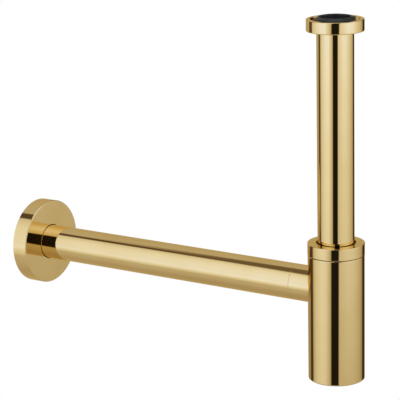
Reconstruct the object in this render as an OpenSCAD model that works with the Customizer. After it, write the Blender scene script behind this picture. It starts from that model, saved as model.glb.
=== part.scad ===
// Basin bottle trap in polished metal. The union nut hangs it from the basin waste, the inlet
// tube telescopes into the bottle, and the outlet tube runs to a round cover plate at the wall.
// The origin is the centre of the union nut's top plane. Z runs up the inlet tube's axis and
// Y runs along the outlet tube, towards the wall. Every turned piece is one section, revolved.

/* [Tubes] */
// Outside diameter of the inlet tube and the outlet tube
tube_d = 32; // [31:0.5:33]
// Wall thickness of both tubes
tube_wall = 1; // [0.8:0.1:1.3]
// Bevel that breaks the sharp edges at the tubes' cut ends
tube_bevel = 0.3; // [0.1:0.05:0.6]

/* [Inlet union] */
// Height of the union nut
union_nut_h = 10.2; // [9.6:0.2:15]
// Thickness of the nut's web, which carries the tube's flange
union_web = 1.8; // [1.2:0.1:2.4]
// Depth of the union thread, from core to root
union_thread_depth = 1.475; // [1.2:0.005:1.7]
// Wall thickness of the nut outside the thread's root
union_wall = 3.75; // [2.5:0.05:6]
// Length of the run-out groove at the thread's blind end
union_runout = 1.9; // [1.7:0.1:2.4]
// Rounding of the nut's outer edges
union_edge = 0.7; // [0.3:0.1:1.5]
// Thickness of the slip washer between web and flange
slip_washer_t = 0.5; // [0.3:0.1:1]
// Thickness of the flange turned out at the inlet tube's top
tube_flange_t = 1.2; // [0.8:0.1:1.6]
// Width of that flange; at 3.125 the nut's thread has the core of a 1 1/4 inch waste tail
tube_flange_w = 3.125; // [2.6:0.005:4]

/* [Inlet seal] */
// Thickness of the seal's flat rim, which the waste tail presses on
seal_rim_t = 2; // [1.4:0.1:2.6]
// How far the seal's neck stands out past the inlet tube; it enters the waste tail
seal_neck_out = 1.3; // [0.6:0.05:1.7]
// How far the hole through the seal stands in from the tube's bore
seal_bore_in = 1.6; // [0.6:0.05:2.6]
// Radius of the rounded lip at the top of the neck
seal_lip_r = 1; // [0.6:0.1:1.4]
// Height of the lip above the nut's top plane
seal_rise = 2; // [1:0.1:3.5]

/* [Compression joint] */
// Distance from the union nut's top plane down to the compression nut's top
riser_show = 194.6; // [150:0.2:240]
// Height of the compression nut
comp_nut_h = 10.4; // [9.8:0.2:14]
// Thickness of the compression nut's web
comp_web = 2; // [1.4:0.1:2.4]
// Wall thickness of the compression nut outside the thread's pitch line
comp_wall = 2.35; // [1.8:0.05:5]
// Gap between web and tube, which shows as a dark ring round the tube
comp_hole_gap = 1.45; // [0.6:0.05:2.4]
// Rounding of the compression nut's outer edges
comp_edge = 0.5; // [0.3:0.1:1.2]
// Radial thickness of the compression seal
comp_seal_t = 3.9; // [3:0.1:6]
// Wall thickness of the neck outside the seal, up to the thread's pitch line
neck_wall = 2.5; // [1.8:0.1:4]
// Room between the neck's top and the nut's web, used up as the nut is tightened
neck_room = 2; // [1.4:0.1:2.6]
// Length of the neck's spigot inside the bottle
neck_spigot = 7.6; // [5:0.2:12]
// Depth of the seal chamber in the neck
seal_chamber_depth = 6; // [5.4:0.1:6.8]
// Thickness of the flat slip ring between web and seal
slip_ring_t = 1.2; // [0.8:0.1:1.6]
// Gap that shows as a dark line between compression nut and bottle
seam_gap = 0.4; // [0.2:0.05:0.8]

/* [Dip tube] */
// Wall thickness of the plastic dip tube
dip_wall = 1.4; // [1:0.1:1.6]
// Clearance round the inlet tube inside the dip tube
dip_gap = 0.3; // [0.2:0.05:0.4]
// Thickness of the dip tube's flange, clamped under the seal
dip_flange_t = 1.2; // [0.8:0.1:1.6]
// Depth of water that closes the trap
water_seal = 50; // [40:1:75]
// Height of the stop at the dip tube's mouth
dip_stop_t = 1.2; // [0.8:0.1:2]
// How far the inlet tube can still be pushed down
push_in = 32; // [10:1:44]

/* [Bottle] */
// How far the bottle's bore stands out past the neck's thread
neck_shoulder = 0.7; // [0.3:0.1:4]
// Wall thickness of the bottle
bottle_wall = 1.5; // [1.2:0.1:2.5]
// Depth of the sump, from the dip tube's mouth down to the base disc
sump_h = 13.8; // [11:0.2:40]
// Rounding of the bottle's rim
bottle_rim_edge = 0.5; // [0.2:0.1:0.9]
// Rounding of the bottle's bottom edge
bottle_foot_edge = 1.1; // [0.4:0.1:1.2]
// Thickness of the base disc
base_t = 5; // [4.4:0.1:7]
// Height of the threaded boss above the base disc
boss_h = 3; // [1:0.5:5]
// Wall thickness of the boss
boss_wall = 2.6; // [1.6:0.1:4]

/* [Cleaning plug] */
// Width of the plug's head outside the thread's pitch line
plug_head_w = 3.7; // [3:0.1:6]
// Thickness of the plug's head
plug_head_t = 2.2; // [2:0.1:2.6]
// Pitch diameter of the plug's thread
plug_thread_d = 22.6; // [20:0.2:23]
// Width across the flats of the hexagon socket
plug_hex = 10; // [6:0.5:12]
// Depth of the hexagon socket
plug_hex_depth = 5; // [3:0.1:6]
// Thickness of the plug's sealing ring
plug_ring_d = 1.6; // [1.2:0.1:1.7]

/* [Outlet joint] */
// Distance from the bottle's rim down to the outlet's axis
outlet_drop = 30.8; // [26:0.2:38]
// Length of the branch, from the bottle's wall to the hairline joint in the outlet
branch_l = 14.8; // [12:0.2:40]
// Wall thickness of the branch at the bottle
branch_wall = 3; // [2.4:0.1:4]
// Wall thickness of the branch outside the thread's pitch line
branch_thread_wall = 1.9; // [1.6:0.05:2.2]
// Length of the threaded part of the nipple
nipple_thread = 7.6; // [6:0.2:9]
// Wall thickness of the nipple inside the thread's pitch line
nipple_wall = 1.7; // [1.2:0.1:2.6]
// How far the nipple is soldered into the outlet tube
nipple_socket = 11; // [6:0.5:20]
// Thickness of the outlet's sealing ring
outlet_ring_d = 1.4; // [1.2:0.05:1.45]
// Bevel on both sides of the hairline joint
joint_bevel = 0.2; // [0.1:0.05:0.4]

/* [Wall end] */
// Distance from the inlet's axis to the wall
wall_reach = 328.2; // [200:0.2:420]
// Diameter of the wall rosette
rosette_d = 79; // [60:0.5:100]
// Depth of the wall rosette
rosette_depth = 15; // [11:0.5:24]
// Wall thickness of the wall rosette
rosette_wall = 1.2; // [0.8:0.1:2]
// Rounding of the rosette's front edge
rosette_edge = 0.8; // [0.3:0.1:1.2]
// Length of the collar that holds the grip ring inside the rosette
rosette_collar_l = 8; // [6:0.5:9]
// Wall thickness of that collar
rosette_collar_wall = 1.2; // [0.8:0.1:2]
// Radial thickness of the rubber grip ring
grip_t = 2.3; // [1.6:0.1:4]

/* [Hidden] */
$fn = 96;

// clearances
running_gap = 0.05;    // radial, a rubber lip or a turned piece on the surface that it slides on
thread_gap = 0.04;     // radial, each side of a thread's pitch cylinder
slide_gap = 0.35;      // radial, a nut or a washer that drops over the tube
ring_gap = 0.02;       // between a sealing ring and the floor of its groove
plug_seat_gap = 0.1;   // between the plug's head and the recess that it screws up to
plug_sink = 0.2;       // how far the plug's head lies inside the bottle's foot
over = 1;              // how far a cutting form runs past what it cuts

tube_r = tube_d / 2;
tube_bore_r = tube_r - tube_wall;

// inlet union, from the nut's top plane down
flange_r = tube_r + tube_flange_w;
union_core_r = flange_r + slide_gap;
union_root_r = union_core_r + union_thread_depth;
union_r = union_root_r + union_wall;
union_mouth_r = union_root_r + 0.8 * union_edge;
union_web_z = -union_nut_h + union_web;
flange_low_z = union_web_z + slip_washer_t;
flange_top_z = flange_low_z + tube_flange_t;
rim_top_z = flange_top_z + seal_rim_t;

// compression joint, outwards from the tube and down from the nut's top
chamber_r = tube_r + comp_seal_t + 2 * running_gap;
neck_thread_r = chamber_r + neck_wall;
comp_r = neck_thread_r + comp_wall;
comp_top_z = -riser_show;
comp_low_z = comp_top_z - comp_nut_h;
comp_web_z = comp_top_z - comp_web;
rim_z = comp_low_z - seam_gap;
neck_top_z = comp_web_z - neck_room;
chamber_z = neck_top_z - seal_chamber_depth;
ring_low_z = comp_web_z - slip_ring_t;
dip_flange_z = chamber_z + dip_flange_t;

// bottle and dip tube: the mouth hangs below the outlet's invert by the water seal
bottle_bore_r = neck_thread_r + neck_shoulder;
bottle_r = bottle_bore_r + bottle_wall;
branch_bore_r = tube_r - branch_wall;
outlet_z = rim_z - outlet_drop;
dip_bore_r = tube_r + dip_gap;
dip_r = dip_bore_r + dip_wall;
dip_mouth_z = outlet_z - branch_bore_r - water_seal;
tube_end_z = dip_mouth_z + dip_stop_t + push_in;
floor_z = dip_mouth_z - sump_h;
boss_z = floor_z + boss_h;
foot_z = floor_z - base_t;

// cleaning plug, from the bottle's foot up
plug_thread_r = plug_thread_d / 2;
plug_head_r = plug_thread_r + plug_head_w;
plug_low_z = foot_z + plug_sink;
plug_seat_z = plug_low_z + plug_head_t + plug_seat_gap;
plug_groove_r = (plug_head_r + plug_thread_r) / 2;

// outlet joint and wall end, as distances from the inlet's axis
joint_y = bottle_r + branch_l;
outlet_thread_r = tube_r - branch_thread_wall;
outlet_ring_r = outlet_thread_r + outlet_ring_d / 4;
ring_seat_r = outlet_ring_r + outlet_ring_d / 2 + running_gap;
ring_neck_r = outlet_ring_r - outlet_ring_d / 2 - running_gap;
ring_seat_l = outlet_ring_d + 0.5;
rosette_r = rosette_d / 2;
rosette_y = wall_reach - rosette_depth;
rosette_hole_r = tube_r + 0.4;
grip_r = tube_r + running_gap;
collar_bore_r = grip_r + grip_t;

// What a rounding of radius e takes off a section's outer corner at (r, z).
// way is 1 at the section's top and -1 at its bottom.
module corner_cut(r, z, e, way)
    difference() {
        translate([r - e, way > 0 ? z - e : z - over]) square([e + over, e + over]);
        translate([r - e, z - way * e]) circle(r = e, $fn = 48);
    }

// A turned ring's section with its outer edges rounded
module ring_section(r_in, r_out, z_low, z_top, low_edge, top_edge)
    difference() {
        translate([r_in, z_low]) square([r_out - r_in, z_top - z_low]);
        if (low_edge > 0) corner_cut(r_out, z_low, low_edge, -1);
        if (top_edge > 0) corner_cut(r_out, z_top, top_edge, 1);
    }

// Lays a piece that is turned about Z along the outlet, its top towards the wall
module along_outlet() translate([0, 0, outlet_z]) rotate([-90, 0, 0]) children();

// The union nut: its web hooks under the washer and the tube's flange
module inlet_nut() color("#d9bd83")
    rotate_extrude() difference() {
        ring_section(tube_r + slide_gap, union_r, -union_nut_h, 0, union_edge, union_edge);
        polygon([
            [0, union_web_z], [union_root_r, union_web_z],
            [union_root_r, union_web_z + union_runout - union_thread_depth],
            [union_core_r, union_web_z + union_runout],
            [union_core_r, union_core_r - union_mouth_r],
            [union_mouth_r, 0], [union_mouth_r, over], [0, over]
        ]);
    }

module inlet_slip_washer() color("#e8e6df")
    rotate_extrude()
        translate([tube_r + slide_gap, union_web_z])
            square([flange_r - tube_r - slide_gap, slip_washer_t]);

// The inlet seal: a flat rim, and a neck whose flank leans in, tangent to the rounded lip
module inlet_seal() color("#2b2b2d") {
    bore_r = tube_bore_r - seal_bore_in;
    neck_r = tube_r + seal_neck_out;
    lip_r = bore_r + seal_lip_r;
    lip_z = seal_rise - seal_lip_r;
    lean = atan2(lip_z, lip_r - neck_r) - asin(seal_lip_r / norm([neck_r - lip_r, lip_z])) - 90;
    rotate_extrude() union() {
        polygon([
            [bore_r, flange_top_z], [flange_r, flange_top_z],
            [flange_r, rim_top_z], [neck_r, rim_top_z], [neck_r, 0],
            [lip_r + seal_lip_r * cos(lean), lip_z + seal_lip_r * sin(lean)],
            [lip_r, lip_z], [bore_r, lip_z]
        ]);
        translate([lip_r, lip_z]) circle(r = seal_lip_r, $fn = 48);
    }
}

module inlet_tube() color("#d9bd83")
    rotate_extrude() polygon([
        [tube_bore_r, tube_end_z], [tube_r - tube_bevel, tube_end_z],
        [tube_r, tube_end_z + tube_bevel], [tube_r, flange_low_z],
        [flange_r, flange_low_z], [flange_r, flange_top_z], [tube_bore_r, flange_top_z]
    ]);

module compression_nut() color("#d2b272")
    rotate_extrude() difference() {
        ring_section(tube_r + comp_hole_gap, comp_r, comp_low_z, comp_top_z, comp_edge, comp_edge);
        translate([0, comp_low_z - over])
            square([neck_thread_r + thread_gap, comp_web_z - comp_low_z + over]);
    }

module compression_slip_ring() color("#e8e6df")
    rotate_extrude()
        translate([tube_r + slide_gap, ring_low_z])
            square([chamber_r - tube_r - 2 * slide_gap, slip_ring_t]);

// The compression seal: a bevelled rubber ring between slip ring and dip tube flange
module compression_seal() color("#2b2b2d") {
    r_in = tube_r + running_gap;
    r_out = chamber_r - running_gap;
    bevel = (ring_low_z - dip_flange_z) / 4;
    rotate_extrude() polygon([
        [r_in, dip_flange_z + bevel], [r_in + bevel, dip_flange_z], [r_out, dip_flange_z],
        [r_out, ring_low_z - 2 * bevel], [r_out - bevel, ring_low_z], [r_in, ring_low_z]
    ]);
}

// The dip tube: a flange held in the neck, and a stop for the inlet tube at its mouth
module dip_tube() color("#cfd1cf")
    rotate_extrude() polygon([
        [tube_bore_r, dip_mouth_z], [dip_r - dip_wall / 2, dip_mouth_z],
        [dip_r, dip_mouth_z + dip_wall / 2], [dip_r, chamber_z],
        [chamber_r - running_gap, chamber_z], [chamber_r - running_gap, dip_flange_z],
        [dip_bore_r, dip_flange_z], [dip_bore_r, dip_mouth_z + dip_stop_t],
        [tube_bore_r, dip_mouth_z + dip_stop_t]
    ]);

// The neck: threaded outside, a seal chamber inside, and a spigot soldered into the bottle
module bottle_neck() color("#c9a863") {
    thread_r = neck_thread_r - thread_gap;
    bevel = 0.6;
    rotate_extrude() polygon([
        [dip_r + slide_gap, rim_z - neck_spigot],
        [bottle_bore_r - bevel, rim_z - neck_spigot],
        [bottle_bore_r, rim_z - neck_spigot + bevel],
        [bottle_bore_r, rim_z], [thread_r, rim_z],
        [thread_r, neck_top_z - bevel], [thread_r - bevel, neck_top_z],
        [chamber_r, neck_top_z], [chamber_r, chamber_z], [dip_r + slide_gap, chamber_z]
    ]);
}

module bottle_shell() color("#d2b272")
    difference() {
        rotate_extrude()
            ring_section(
                bottle_bore_r, bottle_r, foot_z, rim_z, bottle_foot_edge, bottle_rim_edge
            );
        along_outlet() cylinder(r = branch_bore_r, h = bottle_r + over);
    }

// The base disc: a threaded boss, and a recess that takes the plug's head flush
module bottle_base() color("#c9a863") {
    thread_r = plug_thread_r + thread_gap;
    rotate_extrude() polygon([
        [plug_head_r + slide_gap, foot_z], [bottle_bore_r, foot_z], [bottle_bore_r, floor_z],
        [thread_r + boss_wall, floor_z], [thread_r + boss_wall, boss_z], [thread_r, boss_z],
        [thread_r, plug_seat_z], [plug_head_r + slide_gap, plug_seat_z]
    ]);
}

module cleaning_plug_ring() color("#2b2b2d")
    rotate_extrude()
        translate([plug_groove_r, plug_seat_z - ring_gap - plug_ring_d / 2])
            circle(d = plug_ring_d, $fn = 48);

// The cleaning plug: a flat head with a ring groove, a threaded shank and a hexagon socket
module cleaning_plug() color("#c9a863") {
    head_top_z = plug_low_z + plug_head_t;
    top_z = boss_z + 0.4;
    shank_r = plug_thread_r - thread_gap;
    groove_w = plug_ring_d + 2 * running_gap;
    groove_z = plug_seat_z - plug_ring_d - 2 * ring_gap;
    bevel = 0.4;
    difference() {
        rotate_extrude() difference() {
            polygon([
                [0, plug_low_z], [plug_head_r - bevel, plug_low_z],
                [plug_head_r, plug_low_z + bevel], [plug_head_r, head_top_z],
                [shank_r, head_top_z], [shank_r, top_z - bevel],
                [shank_r - bevel, top_z], [0, top_z]
            ]);
            translate([plug_groove_r - groove_w / 2, groove_z])
                square([groove_w, head_top_z - groove_z + over]);
        }
        translate([0, 0, plug_low_z - over])
            cylinder(d = plug_hex / cos(30), h = plug_hex_depth + over, $fn = 6);
    }
}

// The branch: a socket saddle-cut to the bottle, threaded for the outlet tube's nipple
module outlet_branch() color("#d2b272") {
    thread_r = outlet_thread_r + thread_gap;
    thread_y = joint_y - nipple_thread - 1;
    difference() {
        along_outlet() rotate_extrude() polygon([
            [branch_bore_r, 0], [tube_r, 0], [tube_r, joint_y - joint_bevel],
            [tube_r - joint_bevel, joint_y], [ring_seat_r, joint_y],
            [ring_seat_r, joint_y - ring_seat_l], [thread_r, joint_y - ring_seat_l],
            [thread_r, thread_y], [branch_bore_r, thread_y]
        ]);
        translate([0, 0, outlet_z - tube_d]) cylinder(r = bottle_r, h = 2 * tube_d);
    }
}

module outlet_ring() color("#2b2b2d")
    along_outlet() rotate_extrude()
        translate([outlet_ring_r, joint_y - ring_seat_l / 2])
            circle(d = outlet_ring_d, $fn = 48);

// The nipple: soldered into the outlet tube, threaded to screw into the branch
module outlet_nipple() color("#c9a863") {
    thread_r = outlet_thread_r - thread_gap;
    bore_r = outlet_thread_r - nipple_wall;
    bevel = 0.5;
    along_outlet() rotate_extrude() polygon([
        [bore_r, joint_y - nipple_thread], [thread_r - bevel, joint_y - nipple_thread],
        [thread_r, joint_y - nipple_thread + bevel], [thread_r, joint_y - ring_seat_l],
        [ring_neck_r, joint_y - ring_seat_l], [ring_neck_r, joint_y],
        [tube_bore_r, joint_y], [tube_bore_r, joint_y + nipple_socket],
        [bore_r + bevel, joint_y + nipple_socket], [bore_r, joint_y + nipple_socket - bevel]
    ]);
}

module outlet_tube() color("#d9bd83")
    along_outlet() rotate_extrude() polygon([
        [tube_bore_r, joint_y], [tube_r - joint_bevel, joint_y],
        [tube_r, joint_y + joint_bevel], [tube_r, wall_reach - tube_bevel],
        [tube_r - tube_bevel, wall_reach], [tube_bore_r, wall_reach]
    ]);

// The grip ring: three rubber lips that hold the rosette where it is put
module rosette_grip_ring() color("#2b2b2d") {
    low_y = rosette_y + rosette_wall + 0.2;
    length = rosette_collar_l - rosette_collar_wall - 0.6;
    lip = length / 5;
    relief_r = grip_r + grip_t / 3;
    along_outlet() rotate_extrude() difference() {
        translate([grip_r, low_y]) square([grip_t - running_gap, length]);
        for (i = [0, 1])
            translate([grip_r - over, low_y + lip * (1 + 2 * i)])
                square([relief_r - grip_r + over, lip]);
    }
}

// The collar: soldered behind the rosette's face, with a lip that keeps the grip ring in
module rosette_collar() color("#c9a863") {
    low_y = rosette_y + rosette_wall;
    top_y = low_y + rosette_collar_l;
    lip_y = top_y - rosette_collar_wall;
    along_outlet() rotate_extrude() polygon([
        [collar_bore_r, low_y], [collar_bore_r + rosette_collar_wall, low_y],
        [collar_bore_r + rosette_collar_wall, top_y], [rosette_hole_r + grip_t / 3, top_y],
        [rosette_hole_r + grip_t / 3, lip_y], [collar_bore_r, lip_y]
    ]);
}

// The rosette: a spun cup, open to the wall, with a hole for the tube in its flat face
module wall_rosette() color("#d9bd83") {
    face_y = rosette_y + rosette_wall;
    bevel = 0.25;
    along_outlet() rotate_extrude() difference() {
        ring_section(0, rosette_r, rosette_y, wall_reach, rosette_edge, 0);
        translate([0, face_y]) square([rosette_r - rosette_wall, rosette_depth]);
        polygon([
            [0, rosette_y - over], [rosette_hole_r + bevel + over, rosette_y - over],
            [rosette_hole_r + bevel, rosette_y], [rosette_hole_r, rosette_y + bevel],
            [rosette_hole_r, face_y + over], [0, face_y + over]
        ]);
    }
}

inlet_nut();
inlet_slip_washer();
inlet_seal();
inlet_tube();
compression_nut();
compression_slip_ring();
compression_seal();
dip_tube();
bottle_neck();
bottle_shell();
bottle_base();
cleaning_plug_ring();
cleaning_plug();
outlet_branch();
outlet_ring();
outlet_nipple();
outlet_tube();
rosette_grip_ring();
rosette_collar();
wall_rosette();
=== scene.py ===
import math

import bmesh
import bpy
from mathutils import Matrix, Vector


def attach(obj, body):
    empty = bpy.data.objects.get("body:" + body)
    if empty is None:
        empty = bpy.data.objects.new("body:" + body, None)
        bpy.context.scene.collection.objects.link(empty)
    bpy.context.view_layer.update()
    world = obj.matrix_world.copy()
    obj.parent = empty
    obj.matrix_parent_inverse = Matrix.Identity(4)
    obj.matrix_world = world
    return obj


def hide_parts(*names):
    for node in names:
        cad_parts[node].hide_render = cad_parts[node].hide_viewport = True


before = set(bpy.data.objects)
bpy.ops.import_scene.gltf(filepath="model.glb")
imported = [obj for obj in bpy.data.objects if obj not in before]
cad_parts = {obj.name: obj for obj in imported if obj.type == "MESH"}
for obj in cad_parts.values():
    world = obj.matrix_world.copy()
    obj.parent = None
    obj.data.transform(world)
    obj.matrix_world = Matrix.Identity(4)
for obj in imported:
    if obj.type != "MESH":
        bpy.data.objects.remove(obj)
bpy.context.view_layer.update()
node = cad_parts

# Camera
# It stands in front and to the left, a little above, as the photograph's did.
CAMERA_AZIMUTH, CAMERA_ELEVATION, CAMERA_ROLL = map(math.radians, (-56.138, 14.315, -1.305))
CAMERA_DISTANCE = 1.6128
CAMERA_TARGET = Vector((-0.06042, 0.1, -0.15574))
cam = bpy.data.objects.new("camera", bpy.data.cameras.new("camera"))
bpy.context.scene.collection.objects.link(cam)
bpy.context.scene.camera = cam
cam.data.sensor_width = 36
cam.data.lens = 168.47
cam.data.clip_start, cam.data.clip_end = 0.05, 50
back = Vector((
    math.sin(CAMERA_AZIMUTH) * math.cos(CAMERA_ELEVATION),
    -math.cos(CAMERA_AZIMUTH) * math.cos(CAMERA_ELEVATION),
    math.sin(CAMERA_ELEVATION),
))
right = Vector((math.cos(CAMERA_AZIMUTH), math.sin(CAMERA_AZIMUTH), 0))
up = back.cross(right)
tilted_right = math.cos(CAMERA_ROLL) * right + math.sin(CAMERA_ROLL) * up
tilted_up = math.cos(CAMERA_ROLL) * up - math.sin(CAMERA_ROLL) * right
turn = Matrix((tilted_right, tilted_up, back)).transposed().to_4x4()
cam.matrix_world = Matrix.Translation(CAMERA_TARGET + CAMERA_DISTANCE * back) @ turn


# Studio
# A pale floor, and a plain white room with two long soft lights left and right of a dark gap
# round the camera. The room is drawn by direction only, so it is the same for every view.
class Graph:
    """Adds nodes to a node tree and joins them."""

    def __init__(self, tree):
        self.tree = tree
        tree.nodes.clear()

    def add(self, kind, settings=None, **sockets):
        made = self.tree.nodes.new(kind)
        for key, value in (settings or {}).items():
            setattr(made, key, value)
        for key, value in sockets.items():
            name = key.replace("_", " ")
            socket = made.inputs[int(key[1:])] if key[0] == "i" and key[1:].isdigit() else made.inputs[name]
            if isinstance(value, bpy.types.NodeSocket):
                self.tree.links.new(value, socket)
            else:
                socket.default_value = value
        return made

    def math(self, operation, *values):
        made = self.add("ShaderNodeMath", {"operation": operation})
        for i, value in enumerate(values):
            if isinstance(value, bpy.types.NodeSocket):
                self.tree.links.new(value, made.inputs[i])
            else:
                made.inputs[i].default_value = value
        return made.outputs[0]

    def ramp(self, factor, stops, interpolation="LINEAR"):
        made = self.add("ShaderNodeValToRGB", Fac=factor)
        made.color_ramp.interpolation = interpolation
        elements = made.color_ramp.elements
        while len(elements) < len(stops):
            elements.new(0.5)
        for element, (place, colour) in zip(elements, stops):
            element.position = place
        for element, (place, colour) in zip(elements, stops):
            element.color = (*colour, 1) if len(colour) == 3 else colour
        return made.outputs["Color"]


def grey(v):
    return (v, v, v)


world = bpy.data.worlds.new("studio")
bpy.context.scene.world = world
world.use_nodes = True
g = Graph(world.node_tree)
direction = g.add("ShaderNodeTexCoord").outputs["Generated"]
turned = g.add(
    "ShaderNodeVectorRotate", {"rotation_type": "Z_AXIS"},
    Vector=direction, Angle=-math.atan2(back.y, back.x),
).outputs["Vector"]
parts = g.add("ShaderNodeSeparateXYZ", Vector=turned).outputs
# degrees to the right of the camera, and degrees above the horizon
aside = g.math("MULTIPLY", g.math("ARCTAN2", parts["Y"], parts["X"]), 180 / math.pi)
above = g.math("MULTIPLY", g.math("ARCSINE", parts["Z"]), 180 / math.pi)
# the lights' upright edges lean a little
lean = g.math("MULTIPLY", g.math("ADD", g.math("MINIMUM", g.math("MAXIMUM", above, -25), 0), 10), 0.7)
leaning = g.math("SUBTRACT", aside, lean)


def steps(angle, places, low, high):
    """A ramp over an angle in degrees, from (angle, level) pairs between low and high."""
    factor = g.math("DIVIDE", g.math("SUBTRACT", angle, low), high - low)
    return g.ramp(factor, [((a - low) / (high - low), grey(v)) for a, v in places])


def mix(factor, a, b):
    return g.add("ShaderNodeMix", {"data_type": "FLOAT"}, i0=factor, i2=a, i3=b).outputs[0]


wall_high = steps(leaning, [
    (-180, 0.57), (-130, 0.57), (-126, 0.1), (-110, 0.1), (-106, 0.75), (-88, 0.97), (-66, 1.1),
    (-45, 1.12), (-34, 0.9), (-22, 0.62), (-18, 0.01), (9, 0.01), (13, 0.88), (28, 1.0), (48, 1.12),
    (72, 1.06), (93, 0.86), (112, 0.68), (128, 0.45), (132, 0.04), (156, 0.04), (162, 0.57),
], -180, 180)
wall_low = steps(leaning, [
    (-180, 0.42), (-130, 0.42), (-126, 0.06), (-110, 0.06), (-106, 0.5), (-88, 0.76), (-62, 0.88),
    (-45, 0.85), (-34, 0.7), (-22, 0.5), (-18, 0.01), (9, 0.01), (13, 0.6), (28, 0.63), (48, 0.66),
    (72, 0.65), (93, 0.6), (112, 0.52), (126, 0.42), (134, 0.04), (156, 0.04), (162, 0.42),
], -180, 180)
level = mix(steps(above, [(-20, 0), (-9, 1)], -30, 10), wall_low, wall_high)
floor_level = steps(above, [(-90, 0.45), (-58, 0.48), (-45, 0.56), (-28, 0.62)], -90, 0)
level = mix(steps(above, [(-29, 1), (-21, 0)], -40, 0), level, floor_level)
ceiling_level = steps(above, [(58, 0.17), (64, 0.17), (68, 0.96)], 0, 90)
level = mix(steps(above, [(54, 0), (58, 1)], 0, 90), level, ceiling_level)
room = g.ramp(g.math("DIVIDE", level, 1.3), [
    (0.0, (0.005, 0.006, 0.006)), (0.13 / 1.3, (0.14, 0.10, 0.06)), (0.33 / 1.3, (0.34, 0.27, 0.18)),
    (0.5 / 1.3, (0.51, 0.45, 0.34)), (0.62 / 1.3, (0.64, 0.60, 0.47)), (0.8 / 1.3, (0.81, 0.80, 0.73)),
    (0.9 / 1.3, (0.89, 0.90, 0.85)), (1.02 / 1.3, (1.0, 1.06, 1.15)), (1.1 / 1.3, (1.06, 1.19, 1.55)),
    (1.2 / 1.3, (1.1, 1.29, 2.0)), (1.0, (1.3, 1.4, 2.0)),
])
seen = g.add("ShaderNodeBackground", Color=(1, 1, 1, 1), Strength=1.0).outputs[0]
lit = g.add("ShaderNodeBackground", Color=room, Strength=1.0).outputs[0]
path = g.add("ShaderNodeLightPath").outputs["Is Camera Ray"]
both = g.add("ShaderNodeMixShader", i0=path, i1=lit, i2=seen).outputs[0]
g.add("ShaderNodeOutputWorld", Surface=both)


# The floor lies well below the trap, which hangs between basin and wall. Only the camera sees
# it, with the trap's soft shadow, and it fades to white at its rim.
FLOOR_Z = -3.2
FLOOR_R = 6.0
disc = bmesh.new()
bmesh.ops.create_circle(disc, cap_ends=True, segments=96, radius=FLOOR_R)
floor_mesh = bpy.data.meshes.new("floor")
disc.to_mesh(floor_mesh)
disc.free()
floor = bpy.data.objects.new("floor", floor_mesh)
floor.location = (0, 0.15, FLOOR_Z)
bpy.context.scene.collection.objects.link(floor)
floor_paint = bpy.data.materials.new("floor")
floor_paint.use_nodes = True
g = Graph(floor_paint.node_tree)
place = g.add("ShaderNodeTexCoord").outputs["Object"]
grain = g.add("ShaderNodeTexNoise", Vector=place, Scale=6.0, Detail=4.0).outputs[0]
pale = g.ramp(grain, [(0.3, (0.87, 0.87, 0.86)), (0.7, (0.92, 0.92, 0.91))])
matt = g.add("ShaderNodeBsdfDiffuse", Color=pale).outputs[0]
white = g.add("ShaderNodeEmission", Color=(1, 1, 1, 1), Strength=1.0).outputs[0]
out_from_centre = g.add("ShaderNodeVectorMath", {"operation": "LENGTH"}, i0=place).outputs["Value"]
rim = g.ramp(g.math("DIVIDE", out_from_centre, FLOOR_R), [(0.3, grey(0)), (1.0, grey(1))])
fading = g.add("ShaderNodeMixShader", i0=rim, i1=matt, i2=white).outputs[0]
clear = g.add("ShaderNodeBsdfTransparent").outputs[0]
path = g.add("ShaderNodeLightPath").outputs["Is Camera Ray"]
g.add("ShaderNodeOutputMaterial", Surface=g.add("ShaderNodeMixShader", i0=path, i1=clear, i2=fading).outputs[0])
floor_mesh.materials.append(floor_paint)


# Inlet union
# A round nut, turned from brass, plated gold and polished to a mirror, hangs the tube from the
# basin's waste. It holds the tube's flange and a black rubber seal, and turns on a thin washer.
def polished_gold():
    """Gold plating over polished brass: a mirror with the faint haze and orange peel of buffing."""
    metal = bpy.data.materials.new("polished_gold")
    metal.use_nodes = True
    g = Graph(metal.node_tree)
    place = g.add("ShaderNodeTexCoord").outputs["Object"]
    cloud = g.add("ShaderNodeTexNoise", Vector=place, Scale=38.0, Detail=3.0).outputs[0]
    tone = g.ramp(cloud, [(0.3, (0.785, 0.602, 0.302)), (0.7, (0.815, 0.636, 0.338))])
    buffing = g.add("ShaderNodeTexNoise", Vector=place, Scale=900.0, Detail=4.0, Roughness=0.6).outputs[0]
    haze = g.ramp(buffing, [(0.35, grey(0.025)), (0.75, grey(0.055))])
    peel = g.add("ShaderNodeTexNoise", Vector=place, Scale=420.0, Detail=2.0).outputs[0]
    bump = g.add("ShaderNodeBump", Height=peel, Strength=0.02, Distance=0.00002).outputs[0]
    shader = g.add(
        "ShaderNodeBsdfPrincipled",
        Base_Color=tone, Metallic=1.0, Roughness=haze, Normal=bump,
        Specular_Tint=(0.93, 0.79, 0.54, 1),
    )
    g.add("ShaderNodeOutputMaterial", Surface=shader.outputs[0])
    return metal


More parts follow.
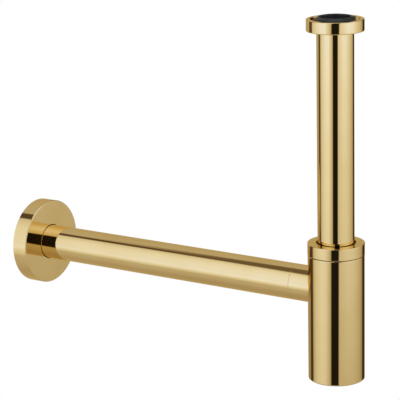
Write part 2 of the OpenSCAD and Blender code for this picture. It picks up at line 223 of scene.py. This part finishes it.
def black_rubber():
    """Moulded rubber: blue-black and half matt, with a fine grain and a few paler smears of talc."""
    rubber = bpy.data.materials.new("black_rubber")
    rubber.use_nodes = True
    g = Graph(rubber.node_tree)
    place = g.add("ShaderNodeTexCoord").outputs["Object"]
    smear = g.add("ShaderNodeTexNoise", Vector=place, Scale=160.0, Detail=5.0, Roughness=0.6).outputs[0]
    tone = g.ramp(smear, [(0.35, (0.016, 0.017, 0.020)), (0.6, (0.022, 0.023, 0.026)), (0.8, (0.040, 0.041, 0.044))])
    gloss = g.ramp(smear, [(0.3, grey(0.34)), (0.7, grey(0.5))])
    grain = g.add("ShaderNodeTexNoise", Vector=place, Scale=2600.0, Detail=3.0).outputs[0]
    bump = g.add("ShaderNodeBump", Height=grain, Strength=0.25, Distance=0.00008).outputs[0]
    shader = g.add("ShaderNodeBsdfPrincipled", Base_Color=tone, Roughness=gloss, Normal=bump)
    g.add("ShaderNodeOutputMaterial", Surface=shader.outputs[0])
    return rubber


def moulded_plastic(name, low, high, rough):
    """Moulded plastic: slightly cloudy, with a satin skin."""
    plastic = bpy.data.materials.new(name)
    plastic.use_nodes = True
    g = Graph(plastic.node_tree)
    place = g.add("ShaderNodeTexCoord").outputs["Object"]
    flow = g.add("ShaderNodeTexNoise", Vector=place, Scale=90.0, Detail=4.0, Distortion=0.6).outputs[0]
    tone = g.ramp(flow, [(0.3, low), (0.7, high)])
    gloss = g.ramp(flow, [(0.3, grey(rough - 0.06)), (0.7, grey(rough + 0.06))])
    skin = g.add("ShaderNodeTexNoise", Vector=place, Scale=1500.0, Detail=3.0).outputs[0]
    bump = g.add("ShaderNodeBump", Height=skin, Strength=0.12, Distance=0.00005).outputs[0]
    shader = g.add("ShaderNodeBsdfPrincipled", Base_Color=tone, Roughness=gloss, Normal=bump)
    g.add("ShaderNodeOutputMaterial", Surface=shader.outputs[0])
    return plastic


def finish(piece, material):
    """Gives a node, or a new piece, its material."""
    if not piece.material_slots:
        piece.data.materials.append(material)
    for slot in piece.material_slots:
        slot.material = material


OUTLET_Z = -236.2
METRIC = ((0, 0), (0.25, 0), (0.5625, 1), (0.6875, 1))
PIPE = ((0, 0), (0.07, 0.07), (0.43, 0.93), (0.5, 1), (0.57, 0.93), (0.93, 0.07))


def thread(low, high, pitch, core, depth, low_r, high_r, form=METRIC, inside=False):
    """Rows that climb along a right-hand thread between two heights, lowest first.

    core is the thread's smallest radius. At each end a 45 degree chamfer takes the thread to
    low_r or high_r: it cuts a thread on a shank down, and opens one inside a bore.
    """
    rows = []
    for turn_number in range(math.floor(low / pitch) - 1, math.ceil(high / pitch) + 1):
        for phase, share in form:
            def row(t, climb=turn_number + phase, r=core + depth * share):
                h = min(max(pitch * (climb + t), low), high)
                if inside:
                    return max(r, low_r - (h - low), high_r - (high - h)), h
                return min(r, low_r + (h - low), high_r + (high - h)), h
            rows.append(row)
    return rows


def rounded(r, h, e, up, steps=8):
    """The outer corner at (r, h) of a turned piece, rounded: bottom corners run outwards and
    up, top corners run up and inwards."""
    angles = [90 * i / steps for i in range(steps + 1)]
    if up:
        return [(r - e + e * math.cos(math.radians(a)), h - e + e * math.sin(math.radians(a))) for a in angles]
    return [(r - e + e * math.sin(math.radians(a)), h + e - e * math.cos(math.radians(a))) for a in angles]


def turned(name, rows, upright=True, columns=144):
    """A closed turned piece from the rows of its section, in millimetres, in order round it.

    A row is (radius, height), or a function of the turn from 0 to 1 that gives them. The last
    column of a threaded piece meets the first one pitch further on.
    """
    work = bmesh.new()
    grid = []
    for i in range(columns + 1):
        t = i / columns
        c, s = math.cos(2 * math.pi * t), math.sin(2 * math.pi * t)
        line = []
        for row in rows:
            r, h = row(t) if callable(row) else row
            at = (r * c, r * s, h) if upright else (r * c, h, OUTLET_Z - r * s)
            line.append(work.verts.new([v / 1000 for v in at]))
        grid.append(line)
    for a, b in zip(grid, grid[1:]):
        for j in range(len(rows)):
            work.faces.new((a[j], b[j], b[j - 1], a[j - 1]))
    bmesh.ops.remove_doubles(work, verts=work.verts, dist=1e-6)
    bmesh.ops.dissolve_degenerate(work, edges=work.edges, dist=1e-7)
    loose = [edge for edge in work.edges if not edge.link_faces]
    bmesh.ops.delete(work, geom=loose, context="EDGES")
    bmesh.ops.recalc_face_normals(work, faces=work.faces)
    for face in work.faces:
        face.smooth = True
    mesh = bpy.data.meshes.new(name)
    work.to_mesh(mesh)
    work.free()
    mesh.set_sharp_from_angle(angle=math.radians(28))
    piece = bpy.data.objects.new(name, mesh)
    bpy.context.scene.collection.objects.link(piece)
    weighted = piece.modifiers.new("even_faces", "WEIGHTED_NORMAL")
    weighted.keep_sharp = True
    weighted.weight = 100
    return piece


def stands_for(piece, name, body, material):
    """A piece takes the place of the node of that name."""
    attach(piece, body)
    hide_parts(name)
    finish(piece, material)


gold = polished_gold()
rubber = black_rubber()
union_nut = turned("inlet_nut_threaded", [
    (16.35, -10.2), *rounded(24.7, -10.2, 0.7, False), *rounded(24.7, 0, 0.7, True), (21.51, 0),
    *reversed(thread(-7.975, 0, 2.309, 19.475, 1.475, 20.95, 21.51, PIPE, inside=True)),
    (20.95, -8.4), (16.35, -8.4),
])
stands_for(union_nut, "inlet_nut", "union_nut", gold)
finish(node["inlet_tube"], gold)
finish(node["inlet_seal"], rubber)
finish(node["inlet_slip_washer"], moulded_plastic("white_plastic", (0.72, 0.72, 0.70), (0.80, 0.80, 0.78), 0.38))


# Compression joint
# The polished nut presses a dark slip ring and a bevelled rubber ring onto the inlet tube. It
# screws onto a turned brass neck, soldered into the bottle, where a plastic dip tube hangs.
def turned_brass(name, upright=True):
    """Bare turned brass: satin, with the fine rings that the cutting tool leaves."""
    brass = bpy.data.materials.new(name)
    brass.use_nodes = True
    g = Graph(brass.node_tree)
    place = g.add("ShaderNodeTexCoord").outputs["Object"]
    if not upright:
        place = g.add("ShaderNodeVectorMath", {"operation": "SUBTRACT"}, i0=place, i1=(0, 0, OUTLET_Z / 1000)).outputs[0]
    across = (1, 1, 0) if upright else (1, 0, 1)
    flat = g.add("ShaderNodeVectorMath", {"operation": "MULTIPLY"}, i0=place, i1=across).outputs[0]
    radius = g.add("ShaderNodeVectorMath", {"operation": "LENGTH"}, i0=flat).outputs["Value"]
    along = g.add("ShaderNodeSeparateXYZ", Vector=place).outputs["Z" if upright else "Y"]
    rings = g.add("ShaderNodeCombineXYZ", X=radius, Y=along).outputs[0]
    tool_marks = g.add("ShaderNodeTexNoise", {"noise_dimensions": "2D"}, Vector=rings, Scale=5200.0, Detail=2.0).outputs[0]
    cloud = g.add("ShaderNodeTexNoise", Vector=place, Scale=120.0, Detail=4.0).outputs[0]
    tone = g.ramp(cloud, [(0.3, (0.66, 0.47, 0.20)), (0.7, (0.76, 0.57, 0.28))])
    satin = g.ramp(tool_marks, [(0.3, grey(0.2)), (0.7, grey(0.34))])
    bump = g.add("ShaderNodeBump", Height=tool_marks, Strength=0.3, Distance=0.00003).outputs[0]
    shader = g.add("ShaderNodeBsdfPrincipled", Base_Color=tone, Metallic=1.0, Roughness=satin, Normal=bump)
    g.add("ShaderNodeOutputMaterial", Surface=shader.outputs[0])
    return brass


brass = turned_brass("turned_brass")
compression_nut = turned("compression_nut_threaded", [
    (17.45, -194.6), (17.45, -196.6), (23.05, -196.6),
    *reversed(thread(-205.0, -198.2, 1.5, 22.08, 0.92, 23.2, 23.05, inside=True)),
    *rounded(24.85, -205.0, 0.5, False), *rounded(24.85, -194.6, 0.5, True),
])
stands_for(compression_nut, "compression_nut", "clamp_nut", gold)
neck = turned("bottle_neck_threaded", [
    (18.05, -213.0), (22.6, -213.0), (23.2, -212.4), (23.2, -205.4), (22.0, -205.4),
    *thread(-205.4, -198.6, 1.5, 22.0, 0.92, 22.0, 21.86),
    (20.0, -198.6), (20.0, -204.6), (18.05, -204.6),
])
stands_for(neck, "bottle_neck", "bottle", brass)
finish(node["compression_slip_ring"], moulded_plastic("dark_plastic", (0.020, 0.020, 0.021), (0.032, 0.032, 0.033), 0.42))
finish(node["compression_seal"], rubber)
finish(node["dip_tube"], moulded_plastic("grey_plastic", (0.50, 0.51, 0.51), (0.58, 0.59, 0.58), 0.36))


# Bottle
# A length of polished tube with its bottom disc soldered in. A screw plug in the disc, with a
# hexagon socket and a rubber ring in its head, opens the bottle for cleaning.
finish(node["bottle_shell"], gold)
base = turned("bottle_base_threaded", [
    (15.35, -318.0), (23.2, -318.0), (23.2, -313.0), (13.94, -313.0), (13.94, -310.0),
    *reversed(thread(-315.5, -310.0, 1.0, 11.035, 0.61, 11.7, 11.7, inside=True)),
    (15.35, -315.5),
])
stands_for(base, "bottle_base", "bottle", gold)


def hexagon(height, flats=10.0):
    def row(t):
        corner = (360 * t + 30) % 60 - 30
        return flats / 2 / math.cos(math.radians(30 - abs(corner))), height
    return row


plug = turned("cleaning_plug_threaded", [
    (0, -312.8), hexagon(-312.8), hexagon(-317.8), (14.6, -317.8), (15.0, -317.4), (15.0, -315.6),
    (14.0, -315.6), (14.0, -317.14), (12.3, -317.14), (12.3, -315.6),
    *thread(-315.6, -309.6, 1.0, 10.955, 0.61, 10.955, 10.86),
    (0, -309.6),
])
stands_for(plug, "cleaning_plug", "plug", gold)
finish(node["cleaning_plug_ring"], rubber)


# Outlet joint
# A short branch, cut to fit the bottle's side and soldered on. The outlet tube's brass nipple
# screws into it, against a rubber ring, until the two tubes meet in a hairline.
def saddle(r):
    return lambda t: (r, math.sqrt(24.7 ** 2 - (r * math.cos(2 * math.pi * t)) ** 2))


branch = turned("outlet_branch_threaded", [
    saddle(13.0), saddle(14.0), saddle(15.0), saddle(16.0), (16.0, 39.3), (15.8, 39.5), (15.2, 39.5),
    (15.2, 37.6), *reversed(thread(30.9, 37.6, 1.0, 13.835, 0.61, 14.5, 14.6, inside=True)),
    (13.0, 30.9),
], upright=False)
stands_for(branch, "outlet_branch", "bottle", gold)
nipple = turned("outlet_nipple_threaded", [
    (12.4, 31.9), *thread(31.9, 37.6, 1.0, 13.755, 0.61, 13.56, 13.755),
    (13.7, 37.6), (13.7, 39.5), (15.0, 39.5), (15.0, 50.5), (12.9, 50.5), (12.4, 50.0),
], upright=False)
brass_outlet = turned_brass("turned_brass_outlet", upright=False)
stands_for(nipple, "outlet_nipple", "outlet", brass_outlet)
finish(node["outlet_ring"], rubber)
finish(node["outlet_tube"], gold)


# Wall end
# A spun and polished cup covers the hole in the wall. A collar soldered behind its face holds a
# rubber ring, which grips the outlet tube wherever the cup is pushed.
finish(node["wall_rosette"], gold)
finish(node["rosette_collar"], brass_outlet)
finish(node["rosette_grip_ring"], rubber)

bpy.context.scene.view_settings.view_transform = "Standard"
